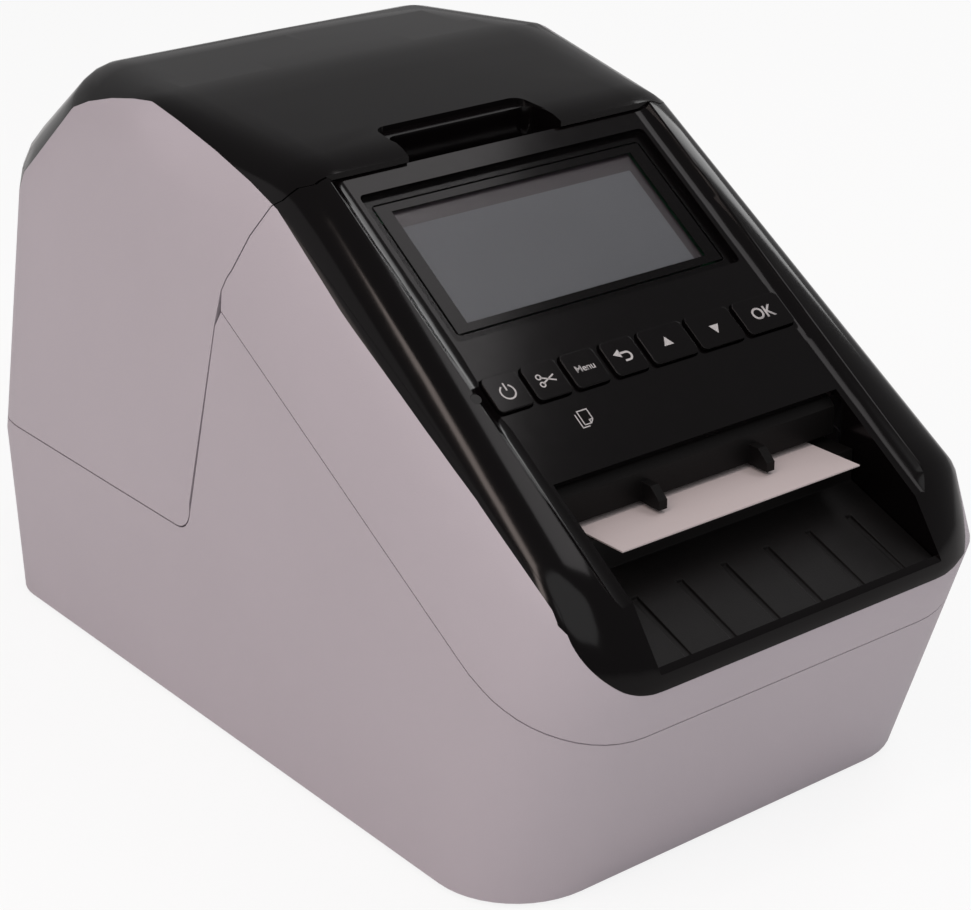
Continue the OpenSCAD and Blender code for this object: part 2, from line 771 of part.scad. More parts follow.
module chassis() {
    chassis_foot_z = floor_z + run_gap;
    sheet_y = cutter_y - blade_t / 2 - 2 * run_gap - sheet_t;
    color(steel) difference() {
        union() {
            pair_across(chassis_x + sheet_t / 2, sheet_t, [[chassis_y0, chassis_foot_z], [chassis_y1, chassis_foot_z],
                [chassis_y1, chassis_top], [head_pivot_y - chassis_step, chassis_top],
                [cutter_y - chassis_step / 2, chassis_top - chassis_step], [chassis_y0, tape_z]]);
            box(-chassis_x, chassis_x, chassis_y0, chassis_y1, chassis_foot_z, chassis_foot_z + sheet_t);
            box(-chassis_x, chassis_x, sheet_y, sheet_y + sheet_t, chassis_foot_z, tape_z - sheet_drop);
            rod(-chassis_x, chassis_x, bar_y, tape_low - run_gap - bar_d / 2, bar_d);
        }
        rod(-half_w, half_w, platen_y, platen_z, bush_d);
        rod(-half_w, half_w, head_pivot_y, head_pivot_z, head_pivot_d);
        rod(0, half_w, idler_c[0], idler_c[1], shaft_d);
        rod(0, half_w, pinion_c[0], pinion_c[1], shaft_d);
        rod_back(cutter_pinion_x, sheet_y - over, sheet_y + sheet_t + over, cutter_pinion_z,
            2 * pitch_r(pinion_teeth) + 4 * gear_module);
    }
}
module platen_roller() {
    color([0.13, 0.13, 0.14]) difference() {
        rod(-platen_half, platen_half, platen_y, platen_z, platen_d);
        rod(-half_w, half_w, platen_y, platen_z, shaft_d);
    }
}
shaft_end = 1;
module platen_shaft() {
    color(steel) rod(-chassis_x - sheet_t - shaft_end, gear_x + gear_face + shaft_end, platen_y, platen_z, shaft_d);
}
module platen_bushes() {
    color(brass) for (side = [-1, 1]) difference() {
        union() {
            rod(side * (chassis_x + sheet_t / 2) - sheet_t / 2, side * (chassis_x + sheet_t / 2) + sheet_t / 2,
                platen_y, platen_z, bush_d);
            rod(side * (chassis_x - bush_head_t / 2) - bush_head_t / 2,
                side * (chassis_x - bush_head_t / 2) + bush_head_t / 2, platen_y, platen_z, bush_head_d);
        }
        rod(-half_w, half_w, platen_y, platen_z, shaft_d + 2 * run_gap);
    }
}

// A spur gear: straight-sided teeth in one outline, with a bore. Tooth points are shares of
// the step between teeth and of the module.
root_shares = [0.36, -1.2];
tip_shares = [0.115, 0.9];
tooth_points_share = [[-root_shares[0], root_shares[1]], [-tip_shares[0], tip_shares[1]],
    tip_shares, root_shares];
function gear_outline(teeth) = [for (k = [0:teeth - 1], q = tooth_points_share)
    (pitch_r(teeth) + q[1] * gear_module) * [cos((k + q[0]) * 360 / teeth), sin((k + q[0]) * 360 / teeth)]];
module gear(teeth, bore) {
    difference() {
        linear_extrude(gear_face) polygon(gear_outline(teeth));
        translate([0, 0, -over]) cylinder(d = bore, h = gear_face + 2 * over, $fn = fine_fn);
    }
}
module side_gear(teeth, c, bore, turn) {
    translate([gear_x, c[0], c[1]]) rotate([90, 0, 90]) rotate([0, 0, turn]) gear(teeth, bore);
}
// A gear is turned so that its teeth meet the gaps of its driver, in direction a from it.
function mesh_turn(driver_turn, driver_teeth, teeth, a) =
    a + 180 - 180 / teeth + (a - driver_turn) * driver_teeth / teeth;
idler_turn = mesh_turn(0, platen_teeth, idler_teeth, idler_a);
pinion_turn = mesh_turn(idler_turn, idler_teeth, pinion_teeth, pinion_a);
module platen_gear() {
    color(acetal) side_gear(platen_teeth, [platen_y, platen_z], shaft_d, 0);
}
module idler_gear() {
    color(acetal) side_gear(idler_teeth, idler_c, shaft_d + 2 * run_gap, idler_turn);
}
module idler_stud() {
    gear_end = gear_x + gear_face;
    color(steel) {
        rod(chassis_x, gear_end + slip + shaft_end, idler_c[0], idler_c[1], shaft_d);
        rod(gear_end + slip, gear_end + slip + shaft_end, idler_c[0], idler_c[1], 2 * shaft_d);
        rod(chassis_x + sheet_t, gear_x - slip, idler_c[0], idler_c[1], 2 * shaft_d);
    }
}
module motor_pinion() {
    color(brass) side_gear(pinion_teeth, pinion_c, motor_shaft_d + 2 * run_gap, pinion_turn);
}
module feed_motor() {
    color([0.35, 0.35, 0.37]) {
        rod(chassis_x - motor_l, chassis_x, pinion_c[0], pinion_c[1], motor_d);
        rod(chassis_x - over, gear_x + gear_face, pinion_c[0], pinion_c[1], motor_shaft_d);
    }
}

// Print head under a sheet bracket that turns about the head pivot
head_z = tape_top + run_gap;
head_run = 12;
head_rise = 5;
head_nib = 2;
bracket_in = 2;
bracket_x = chassis_x - bracket_in;
bracket_z = head_z + head_rise + run_gap;
module print_head() {
    color([0.30, 0.30, 0.32]) across(-platen_half, platen_half, [[platen_y - head_run / 2, head_z + head_rise],
        [platen_y - head_run / 2, head_z + head_rise / 2], [platen_y - head_nib / 2, head_z],
        [platen_y + head_nib / 2, head_z], [platen_y + head_run / 2, head_z + head_rise / 2],
        [platen_y + head_run / 2, head_z + head_rise]]);
}
module head_bracket() {
    color(steel) difference() {
        union() {
            box(-bracket_x, bracket_x, platen_y - head_run / 2, head_pivot_y, bracket_z, bracket_z + sheet_t);
            pair_across(bracket_x - sheet_t / 2, sheet_t, [[platen_y, bracket_z],
                [head_pivot_y + head_pivot_d, bracket_z], [head_pivot_y + head_pivot_d, head_pivot_z + head_pivot_d],
                [head_pivot_y - head_pivot_d, head_pivot_z + head_pivot_d], [platen_y, bracket_z + sheet_t]]);
        }
        rod(-half_w, half_w, head_pivot_y, head_pivot_z, head_pivot_d + 2 * run_gap);
    }
}
module head_pivot() {
    color(steel) rod(-chassis_x - sheet_t, chassis_x + sheet_t, head_pivot_y, head_pivot_z, head_pivot_d);
}

// Cutter: a fixed blade above the tape and a moving one that a pinion lifts by its rack
blade_in = 1.5;
blade_half = chassis_x - blade_in;
blade_rest = 0.5;
blade_slant = 1.2;
blade_l = 16;
fixed_blade_l = 2 * blade_stroke;
fixed_gap = 0.6;
tail_w = 12;
rack_teeth = 8;
rack_pitch = PI * gear_module;
rack_x = cutter_pinion_x + pitch_r(pinion_teeth) + mesh_gap;
blade_top = tape_low - blade_rest;
module fixed_blade() {
    front_y = cutter_y - blade_t / 2 - 2 * run_gap;
    color(steel) box(-chassis_x, chassis_x, front_y - blade_t, front_y, tape_top + fixed_gap,
        tape_top + fixed_gap + fixed_blade_l);
}
// One outline: the plate with its slanted edge, and the tail with the rack down its left side
module moving_blade() {
    foot_z = blade_top - blade_l;
    rack_low = cutter_pinion_z - rack_teeth / 2 * rack_pitch;
    root_x = rack_x - root_shares[1] * gear_module;
    color(steel) translate([0, cutter_y + blade_t / 2, 0]) rotate([90, 0, 0]) linear_extrude(blade_t)
        polygon(concat([[root_x, rack_low]],
            [for (k = [0:rack_teeth - 1], q = tooth_points_share)
                [rack_x - q[1] * gear_module, rack_low + (k + 0.5 + q[0]) * rack_pitch]],
            [[root_x, foot_z], [-blade_half, foot_z], [-blade_half, blade_top - blade_slant],
            [blade_half, blade_top], [blade_half, foot_z], [root_x + tail_w, foot_z], [root_x + tail_w, rack_low]]));
}
module cutter_pinion() {
    color(brass) translate([cutter_pinion_x, cutter_y + gear_face / 2, cutter_pinion_z])
        rotate([90, 0, 0]) gear(pinion_teeth, motor_shaft_d + 2 * run_gap);
}
module cutter_motor() {
    y0 = cutter_y + gear_face / 2 + shaft_end;
    color([0.35, 0.35, 0.37]) {
        rod_back(cutter_pinion_x, y0, y0 + cutter_motor_l, cutter_pinion_z, cutter_motor_d);
        rod_back(cutter_pinion_x, cutter_y - gear_face / 2, y0 + over, cutter_pinion_z, motor_shaft_d);
        box(cutter_pinion_x - cutter_motor_d / 4, cutter_pinion_x + cutter_motor_d / 4, y0, y0 + cutter_motor_l,
            floor_z + 2 * run_gap + sheet_t, cutter_pinion_z - cutter_motor_d / 4);
    }
}

// Main board on four posts, with the ports at its rear edge, and the power supply beside it
main_x0 = -16;
main_x1 = arm_x - 2 * slip;
main_y0 = 6;
main_y1 = half_d - wall - port_l / 2;
port_wall = 1;
module main_board() {
    color(board_green) {
        box(main_x0, main_x1, main_y0, main_y1, socket_z - board_t, socket_z - run_gap);
        for (x = [main_x0 + post_d, main_x1 - post_d], y = [main_y0 + post_d, main_y1 - post_d])
            translate([x, y, floor_z + run_gap]) cylinder(d = post_d, h = socket_z - board_t - floor_z, $fn = round_fn);
    }
}
module port(x, w, h) {
    port_y1 = half_d - wall / 2;
    difference() {
        box(x - w / 2, x + w / 2, port_y1 - port_l, port_y1, socket_z, socket_z + h);
        box(x - w / 2 + port_wall, x + w / 2 - port_wall, port_y1 - port_l / 2, half_d + over,
            socket_z + port_wall, socket_z + h - port_wall);
    }
}
module usb_device_port() {
    color(steel) port(usb_b_x, usb_b_w, usb_b_h);
}
module usb_host_port() {
    color(steel) port(usb_a_x, usb_a_w, usb_a_h);
}
module network_port() {
    color(matte_black) port(network_x, network_w, network_h);
}
inlet_foot = 4;
module power_inlet() {
    color(matte_black) {
        port(inlet_x, inlet_w, inlet_h);
        box(inlet_x - inlet_foot, inlet_x + inlet_foot, half_d - wall / 2 - port_l, half_d - wall - slip,
            floor_z + run_gap, socket_z);
    }
}
psu_in = 1.6;
psu_w = 18;
psu_x0 = psu_in - arm_x;
psu_x1 = psu_x0 + psu_w;
psu_top = 24;
module power_supply() {
    color([0.62, 0.63, 0.65]) box(psu_x0, psu_x1, main_y0, main_y1 - port_l, floor_z + run_gap, psu_top);
}

lower_case();
base_plate();
rubber_feet();
base_screws();
front_bezel();
front_panel();
display_lens();
lcd_module();
control_board();
status_lamp();
exit_guide();
output_tray();
power_key();
cut_key();
menu_key();
back_key();
up_key();
down_key();
ok_key();
cover_shell();
cover_top();
hinge_pins();
roll_cradle();
label_roll();
roll_spool();
label_web();
printed_label();
platen_roller();
platen_shaft();
platen_bushes();
platen_gear();
idler_gear();
idler_stud();
motor_pinion();
feed_motor();
chassis();
print_head();
head_bracket();
head_pivot();
fixed_blade();
moving_blade();
cutter_pinion();
cutter_motor();
main_board();
power_supply();
power_inlet();
usb_device_port();
usb_host_port();
network_port();
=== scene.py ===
# %% [markdown]
# # A desktop label printer, dressed for its portrait
#
# The printer is a box with a hollow inside: white mouldings at the sides, a gloss black front with
# a display and seven keys, and a lid over a roll of labels. Its solid parts were made in CAD, so
# this lesson doesn't build them again. It loads them as a fixed frame, gives each one the finish
# of the real material, and adds what a CAD part leaves out: the print on the keys, the display
# behind its window, contacts in the sockets and the layers of the paper roll.
#
# Everything is in metres. X points to the right of the printer, Y to its back and Z up.

# %% Load the imported printer
import json
import math

import bpy
from mathutils import Matrix, Vector, kdtree


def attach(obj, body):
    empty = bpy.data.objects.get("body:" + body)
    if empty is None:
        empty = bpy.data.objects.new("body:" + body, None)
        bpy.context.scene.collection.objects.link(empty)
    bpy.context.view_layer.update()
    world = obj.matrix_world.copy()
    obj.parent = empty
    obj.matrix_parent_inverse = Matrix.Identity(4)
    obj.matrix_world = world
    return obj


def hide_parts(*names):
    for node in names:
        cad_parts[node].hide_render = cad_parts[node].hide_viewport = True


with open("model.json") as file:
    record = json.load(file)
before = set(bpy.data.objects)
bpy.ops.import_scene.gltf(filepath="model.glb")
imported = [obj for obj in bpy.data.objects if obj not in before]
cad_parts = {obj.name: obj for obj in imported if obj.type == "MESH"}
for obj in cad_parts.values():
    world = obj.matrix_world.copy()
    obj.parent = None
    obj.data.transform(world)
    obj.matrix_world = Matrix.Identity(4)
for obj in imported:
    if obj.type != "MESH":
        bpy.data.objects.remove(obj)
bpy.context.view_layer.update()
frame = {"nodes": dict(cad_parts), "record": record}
MM = 0.001

# %% [markdown]
# ## The camera
#
# The photograph was taken from the front left, a little above the lid. A camera is a place, a
# direction and a lens. Here the direction is given as the three axes of the camera: the one that
# points back out of the picture, the one to the right and the one up. A tiny roll makes the
# uprights lean as they do in the photograph.

# %% Place the camera
AIM = Vector((11.24, 0, 53.24)) * MM
AZIMUTH = math.radians(-37.76)
ELEVATION = math.radians(23.35)
DISTANCE = 0.59184
ROLL = math.radians(-0.92)
LENS = 92.16
SIDE_SHIFT = -0.0095
NEAREST = 0.01

back = Vector((
    math.sin(AZIMUTH) * math.cos(ELEVATION),
    -math.cos(AZIMUTH) * math.cos(ELEVATION),
    math.sin(ELEVATION),
))
right = Vector((math.cos(AZIMUTH), math.sin(AZIMUTH), 0))
up = back.cross(right)
rolled_right = right * math.cos(ROLL) + up * math.sin(ROLL)
rolled_up = up * math.cos(ROLL) - right * math.sin(ROLL)

bpy.ops.object.camera_add()
camera = bpy.context.object
camera.name = "photo_camera"
camera.matrix_world = Matrix.Translation(AIM + back * DISTANCE) @ Matrix(
    (rolled_right, rolled_up, back)).transposed().to_4x4()
camera.data.lens = LENS
camera.data.shift_x = SIDE_SHIFT
camera.data.clip_start = NEAREST
bpy.context.scene.camera = camera
print("camera at", [round(value, 3) for value in camera.location])

# %% [markdown]
# ## The studio
#
# Product photographs use a white sweep and large soft lamps. A plain floor and a plain world do
# the same here. The world lights the printer softly from all sides, but looks white to the
# camera, so it takes two Background shaders and a Light Path node to choose between them. The
# floor shows white by the same means, and keeps a share of its own colour for the soft shadow.
# The lamps stay at a plain level, so that a colour comes out about as it is written.

# %% White floor
def node_tree(owner):
    owner.use_nodes = True
    tree = owner.node_tree
    tree.nodes.clear()
    return tree.nodes, tree.links


FLOOR_SIZE = 12
FLOOR_COLOUR = (0.88, 0.88, 0.88, 1)
FLOOR_WHITE = 0.85
bpy.ops.object.select_all(action="DESELECT")
bpy.ops.mesh.primitive_plane_add(size=FLOOR_SIZE, location=(0, 0, 0))
floor = bpy.context.object
floor.name = "floor"
floor_paint = bpy.data.materials.new("floor_paint")
nodes, links = node_tree(floor_paint)
matt = nodes.new("ShaderNodeBsdfDiffuse")
matt.inputs["Color"].default_value = FLOOR_COLOUR
white = nodes.new("ShaderNodeEmission")
white.inputs["Strength"].default_value = 1
path = nodes.new("ShaderNodeLightPath")
share = nodes.new("ShaderNodeMath")
share.operation = "MULTIPLY"
share.inputs[1].default_value = FLOOR_WHITE
choose = nodes.new("ShaderNodeMixShader")
out = nodes.new("ShaderNodeOutputMaterial")
links.new(path.outputs["Is Camera Ray"], share.inputs[0])
links.new(share.outputs[0], choose.inputs["Fac"])
links.new(matt.outputs[0], choose.inputs[1])
links.new(white.outputs[0], choose.inputs[2])
links.new(choose.outputs[0], out.inputs["Surface"])
floor.data.materials.append(floor_paint)
print("floor", [round(side, 1) for side in floor.dimensions])

# %% World that is soft as a lamp and white as a backdrop
SKY_LEVEL = 0.32
SKY_COLOUR = (1, 0.985, 0.99, 1)
world = bpy.context.scene.world or bpy.data.worlds.new("studio")
bpy.context.scene.world = world
nodes, links = node_tree(world)
lamp_sky = nodes.new("ShaderNodeBackground")
lamp_sky.inputs["Color"].default_value = SKY_COLOUR
lamp_sky.inputs["Strength"].default_value = SKY_LEVEL
white_sky = nodes.new("ShaderNodeBackground")
white_sky.inputs["Color"].default_value = (1, 1, 1, 1)
white_sky.inputs["Strength"].default_value = 1
path = nodes.new("ShaderNodeLightPath")
choose = nodes.new("ShaderNodeMixShader")
links.new(path.outputs["Is Camera Ray"], choose.inputs["Fac"])
links.new(lamp_sky.outputs[0], choose.inputs[1])
links.new(white_sky.outputs[0], choose.inputs[2])
out = nodes.new("ShaderNodeOutputWorld")
links.new(choose.outputs[0], out.inputs["Surface"])
bpy.context.scene.view_settings.view_transform = "Standard"
print("sky level", SKY_LEVEL)

# %% [markdown]
# The key lamp is a soft sun from the front and above, a little to the left. Gloss black has almost
# no colour of its own, so what it shows is its lamps. The soft boxes were placed by trial, until
# the streak on the left rail and the sheen on the panel came near those of the photograph.

# %% Lamps
SUN_PLACE = (-0.4, -1.0, 1.05)
SUN_ENERGY = 0.84
SUN_ANGLE = math.radians(50)
PRINTER_MIDDLE = Vector((0, 0, 0.07))
# Name, place, width and height, watts and tint
SOFT_BOXES = [
    ("left_box", (-1.0, 0.15, 0.6), (1.3, 0.8), 2, (1, 0.96, 0.97)),
    ("low_left_strip", (-0.9, 0.3, 0.42), (0.3, 0.2), 0.55, (1, 0.86, 0.82)),
    ("upper_left_strip", (-0.62, -0.25, 0.95), (0.1, 0.7), 2.4, (1, 0.84, 0.78)),
    ("window_box", (0.345, -0.12, 0.9), (0.6, 0.3), 1.7, (1, 0.96, 0.97)),
    ("right_strip", (1.1, 0.3, 0.7), (0.25, 0.6), 1.6, (1, 1, 1)),
]


def aim_at(lamp, point):
    lamp.rotation_euler = (point - lamp.location).to_track_quat("-Z", "Y").to_euler()


def soft_box(name, place, size, power, tint):
    bpy.ops.object.light_add(type="AREA", location=place)
    lamp = bpy.context.object
    lamp.name = name
    lamp.data.shape = "RECTANGLE"
    lamp.data.size, lamp.data.size_y = size
    lamp.data.energy = power
    lamp.data.color = tint
    aim_at(lamp, PRINTER_MIDDLE)
    print(name, "at", place, "watts", power)


bpy.ops.object.light_add(type="SUN", location=SUN_PLACE)
sun = bpy.context.object
sun.name = "soft_sun"
sun.data.energy = SUN_ENERGY
sun.data.angle = SUN_ANGLE
aim_at(sun, Vector())
for box in SOFT_BOXES:
    soft_box(*box)

# %% [markdown]
# ## Finishes
#
# Moulded plastic is never one flat colour. A fine spark-eroded grain breaks up its light, and its
# gloss changes a little from place to place. One helper makes such a plastic: a fine noise drives
# the bump, and a coarse noise shifts colour and roughness. All noises read Object coordinates in
# metres, so a scale of 1000 is a grain of about a millimetre.

# %% A helper for moulded and painted surfaces
CLOUD_SCALE, CLOUD_DETAIL = 22, 3
CLOUD_LOW, CLOUD_HIGH = 0.3, 0.7
GRAIN_DETAIL = 2
GLOSS_SPREAD = 0.15
DENT_DEPTH = 0.0002


def surface(name, colour, roughness, grain=1500, bump=0.02, shift=0.04, **sockets):
    material = bpy.data.materials.new(name)
    nodes, links = node_tree(material)
    place = nodes.new("ShaderNodeTexCoord")
    shader = nodes.new("ShaderNodeBsdfPrincipled")
    out = nodes.new("ShaderNodeOutputMaterial")
    links.new(shader.outputs["BSDF"], out.inputs["Surface"])

    cloud = nodes.new("ShaderNodeTexNoise")
    cloud.inputs["Scale"].default_value = CLOUD_SCALE
    cloud.inputs["Detail"].default_value = CLOUD_DETAIL
    links.new(place.outputs["Object"], cloud.inputs["Vector"])
    ramp = nodes.new("ShaderNodeValToRGB")
    dark, light = ramp.color_ramp.elements
    dark.position, light.position = CLOUD_LOW, CLOUD_HIGH
    dark.color = [part * (1 - shift) for part in colour] + [1]
    light.color = [part * (1 + shift) for part in colour] + [1]
    links.new(cloud.outputs["Fac"], ramp.inputs["Fac"])
    links.new(ramp.outputs["Color"], shader.inputs["Base Color"])

    fine = nodes.new("ShaderNodeTexNoise")
    fine.inputs["Scale"].default_value = grain
    fine.inputs["Detail"].default_value = GRAIN_DETAIL
    links.new(place.outputs["Object"], fine.inputs["Vector"])
    gloss = nodes.new("ShaderNodeMapRange")
    gloss.inputs["To Min"].default_value = roughness * (1 - GLOSS_SPREAD)
    gloss.inputs["To Max"].default_value = min(1, roughness * (1 + GLOSS_SPREAD))
    links.new(fine.outputs["Fac"], gloss.inputs["Value"])
    links.new(gloss.outputs["Result"], shader.inputs["Roughness"])
    dent = nodes.new("ShaderNodeBump")
    dent.inputs["Strength"].default_value = bump
    dent.inputs["Distance"].default_value = DENT_DEPTH
    links.new(fine.outputs["Fac"], dent.inputs["Height"])
    links.new(dent.outputs["Normal"], shader.inputs["Normal"])
    for socket, value in sockets.items():
        shader.inputs[socket.replace("_", " ")].default_value = value
    print("finish", name)
    return material


# %% Plastics, rubber, paper and metals
finishes = {
    "white_shell": surface("white_shell", (0.43, 0.385, 0.42), 0.48, 2600, 0.12, 0.015),
    "gloss_black": surface("gloss_black", (0.0022, 0.0016, 0.0018), 0.12, 300, 0.001, 0.15,
                           Specular_IOR_Level=0.15),
    "matte_black": surface("matte_black", (0.005, 0.0045, 0.0045), 0.42, 2400, 0.15, 0.12,
                           Specular_IOR_Level=0.1),
    "display_dark": surface("display_dark", (0.036, 0.029, 0.034), 0.3, 900, 0.01, 0.1),
    "board_green": surface("board_green", (0.02, 0.11, 0.05), 0.35, 700, 0.05, 0.2),
    "lamp": surface("lamp", (0.008, 0.008, 0.008), 0.25, 900, 0.02, Specular_IOR_Level=0.15),
    "rubber": surface("rubber", (0.012, 0.012, 0.012), 0.75, 1800, 0.2, 0.1),
    "acetal": surface("acetal", (0.72, 0.7, 0.62), 0.4, 1200, 0.03),
    "motor_can": surface("motor_can", (0.35, 0.35, 0.37), 0.35, 900, 0.03, Metallic=1),
    "supply_can": surface("supply_can", (0.55, 0.56, 0.58), 0.4, 900, 0.05, Metallic=1),
    "head_ceramic": surface("head_ceramic", (0.16, 0.16, 0.18), 0.3, 900, 0.03),
    "label_paper": surface("label_paper", (0.52, 0.452, 0.45), 0.6, 1800, 0.05, 0.015),
    "spool_plastic": surface("spool_plastic", (0.05, 0.05, 0.055), 0.5, 1600, 0.1),
    "steel": surface("steel", (0.6, 0.61, 0.63), 0.3, 1200, 0.04, Metallic=1),
    "brass": surface("brass", (0.72, 0.55, 0.25), 0.3, 1200, 0.04, Metallic=1),
    "display_window": surface("display_window", (0.003, 0.003, 0.003), 0.2, 300, 0.0002, 0.1,
                              Alpha=0.1, IOR=1.1),
}

# %% [markdown]
# The wound roll shows its turns at both ends as fine rings round its axle. A Wave texture makes
# rings, and a Mapping node first moves its centre to the axle.

# %% Wound paper
ROLL_AXLE = Vector((0, 48, 72)) * MM
RING_WOBBLE = 0.6
RING_DARK = 0.72


def wound_paper(name, colour, turns):
    material = surface(name, colour, 0.7, 1500, 0.05, 0.02)
    nodes, links = material.node_tree.nodes, material.node_tree.links
    place = nodes.new("ShaderNodeTexCoord")
    centre = nodes.new("ShaderNodeMapping")
    centre.inputs["Location"].default_value = -ROLL_AXLE
    rings = nodes.new("ShaderNodeTexWave")
    rings.wave_type = "RINGS"
    rings.rings_direction = "X"
    rings.inputs["Scale"].default_value = turns
    rings.inputs["Distortion"].default_value = RING_WOBBLE
    ramp = nodes.new("ShaderNodeValToRGB")
    ramp.color_ramp.elements[0].color = [part * RING_DARK for part in colour] + [1]
    ramp.color_ramp.elements[1].color = [*colour, 1]
    links.new(place.outputs["Object"], centre.inputs["Vector"])
    links.new(centre.outputs["Vector"], rings.inputs["Vector"])
    links.new(rings.outputs["Fac"], ramp.inputs["Fac"])
    shader = next(node for node in nodes if node.type == "BSDF_PRINCIPLED")
    links.new(ramp.outputs["Color"], shader.inputs["Base Color"])
    return material


finishes["wound_paper"] = wound_paper("wound_paper", (0.6, 0.55, 0.52), 320)

# %% Dress every CAD node in the finish of its slot
def dress(piece, material):
    piece.data.materials.clear()
    piece.data.materials.append(material)


slot_of = {part["node"]: part["material_slot"] for part in frame["record"]["subparts"]}
for name, node in frame["nodes"].items():
    dress(node, finishes[slot_of[name]])
dress(frame["nodes"]["label_roll"], finishes["wound_paper"])
print("dressed", len(frame["nodes"]), "nodes")

# %% [markdown]
# ## One form under five mouldings
#
# The big curves of the mouldings come as a few long facets. On a real moulding the light slides
# round a corner without a step. The cure is in the normals: at each point of the outer form, the
# normal becomes the mean of all patches nearby, weighted by their size and nearness. Flat areas
# keep theirs, and corners turn softly. The five mouldings read the same form, so the light also
# runs on across their seams. The form is the convex wrap of all five, cut into small patches.

# %% Gather the form that all outer mouldings share
OUTER = ["lower_case", "front_bezel", "front_panel", "cover_shell", "cover_top"]
FINE = 4
FORM_CUTS = [range(-60, 64, FINE), range(-116, 117, FINE), range(4, 144, FINE)]
SAME_POINT = 0.002 * MM


def copy_of(node_name):
    piece = frame["nodes"][node_name].copy()
    piece.data = piece.data.copy()
    bpy.context.collection.objects.link(piece)
    piece.parent = None
    piece.matrix_world = Matrix.Identity(4)
    return piece


def slice_up(steps):
    """Cut the edited mesh by planes across x, y and z, at the given places in millimetres."""
    for axis, places in zip("XYZ", steps):
        normal = Vector([float(axis == letter) for letter in "XYZ"])
        for place in places:
            bpy.ops.mesh.select_all(action="SELECT")
            bpy.ops.mesh.bisect(plane_co=normal * place * MM, plane_no=normal)


bpy.ops.object.select_all(action="DESELECT")
wraps = [copy_of(name) for name in OUTER]
for wrap in wraps:
    wrap.select_set(True)
bpy.context.view_layer.objects.active = wraps[0]
bpy.ops.object.join()
bpy.ops.object.mode_set(mode="EDIT")
bpy.ops.mesh.select_all(action="SELECT")
bpy.ops.mesh.remove_doubles(threshold=SAME_POINT)
bpy.ops.mesh.convex_hull()
slice_up(FORM_CUTS)
bpy.ops.object.mode_set(mode="OBJECT")
wrap = bpy.context.object
patches = [(face.center.copy(), face.normal.copy(), face.area) for face in wrap.data.polygons]
near = kdtree.KDTree(len(patches))
for index, (centre, normal, area) in enumerate(patches):
    near.insert(centre, index)
near.balance()
bpy.data.objects.remove(wrap)
print("the form has", len(patches), "patches")

# %% [markdown]
# A face of a moulding follows the form only where it lies on it and looks the same way. Patches
# of the underside don't count, so that the normals at the foot of the walls don't lean down.

# %% Smooth normals of the shared form
BLEND = 11 * MM
UNDERSIDE = -0.5
NEIGHBOURS = 8
SAME_WAY = 0.9995
SKIN = 0.02 * MM


def form_normal(point):
    total = Vector()
    for centre, index, distance in near.find_range(point, BLEND):
        normal, area = patches[index][1:]
        if normal.z > UNDERSIDE:
            total += normal * area * (1 - distance / BLEND)
    return total.normalized()


def on_form(face):
    for centre, index, distance in near.find_n(face.center, NEIGHBOURS):
        normal = patches[index][1]
        if normal.z > UNDERSIDE and face.normal.dot(normal) > SAME_WAY:
            if abs((face.center - centre).dot(normal)) < SKIN:
                return True
    return False


def follow_form(piece):
    mesh = piece.data
    normals = [corner.vector.copy() for corner in mesh.corner_normals]
    smooth = {}
    for face in mesh.polygons:
        if not on_form(face):
            continue
        for loop in face.loop_indices:
            vertex = mesh.loops[loop].vertex_index
            if vertex not in smooth:
                smooth[vertex] = form_normal(mesh.vertices[vertex].co)
            if smooth[vertex].length > 0.5:
                normals[loop] = smooth[vertex]
    mesh.normals_split_custom_set(normals)
    print(piece.name, "has", len(smooth), "smooth corners")


# %% [markdown]
# ## Mouldings with soft edges
#
# A CAD edge is perfectly sharp, and sharp edges catch no light. The real mouldings have small
# radii that draw thin bright lines along every rim. So each visible moulding gets a copy: its
# loose triangles are merged, flat areas become single faces, the sharp edges get a small bevel,
# and smooth shading with weighted normals hides the facets of small curves. The outer ones are
# also sliced, so that there are points enough to carry the normals of the form. The copy
# replaces its CAD node in the picture and rides on the same body.

# %% A helper that softens the edges of a moulding
FLAT_ANGLE = math.radians(0.4)
EDGE_ANGLE = math.radians(38)
SMOOTH_ANGLE = math.radians(35)
PIECE_CUTS = [[-60, -56, -52, -48, -44, -40, -20, 0, 20, 40, 44, 48, 52, 56, 60],
              range(-112, 117, 8), range(8, 144, 8)]
body_of_node = {}
for body, node_names in frame["record"]["behaviour"]["bodies"].items():
    for node_name in node_names:
        body_of_node[node_name] = body


def only(piece):
    bpy.ops.object.select_all(action="DESELECT")
    piece.select_set(True)
    bpy.context.view_layer.objects.active = piece


def shade(piece):
    only(piece)
    bpy.ops.object.shade_smooth_by_angle(angle=SMOOTH_ANGLE)


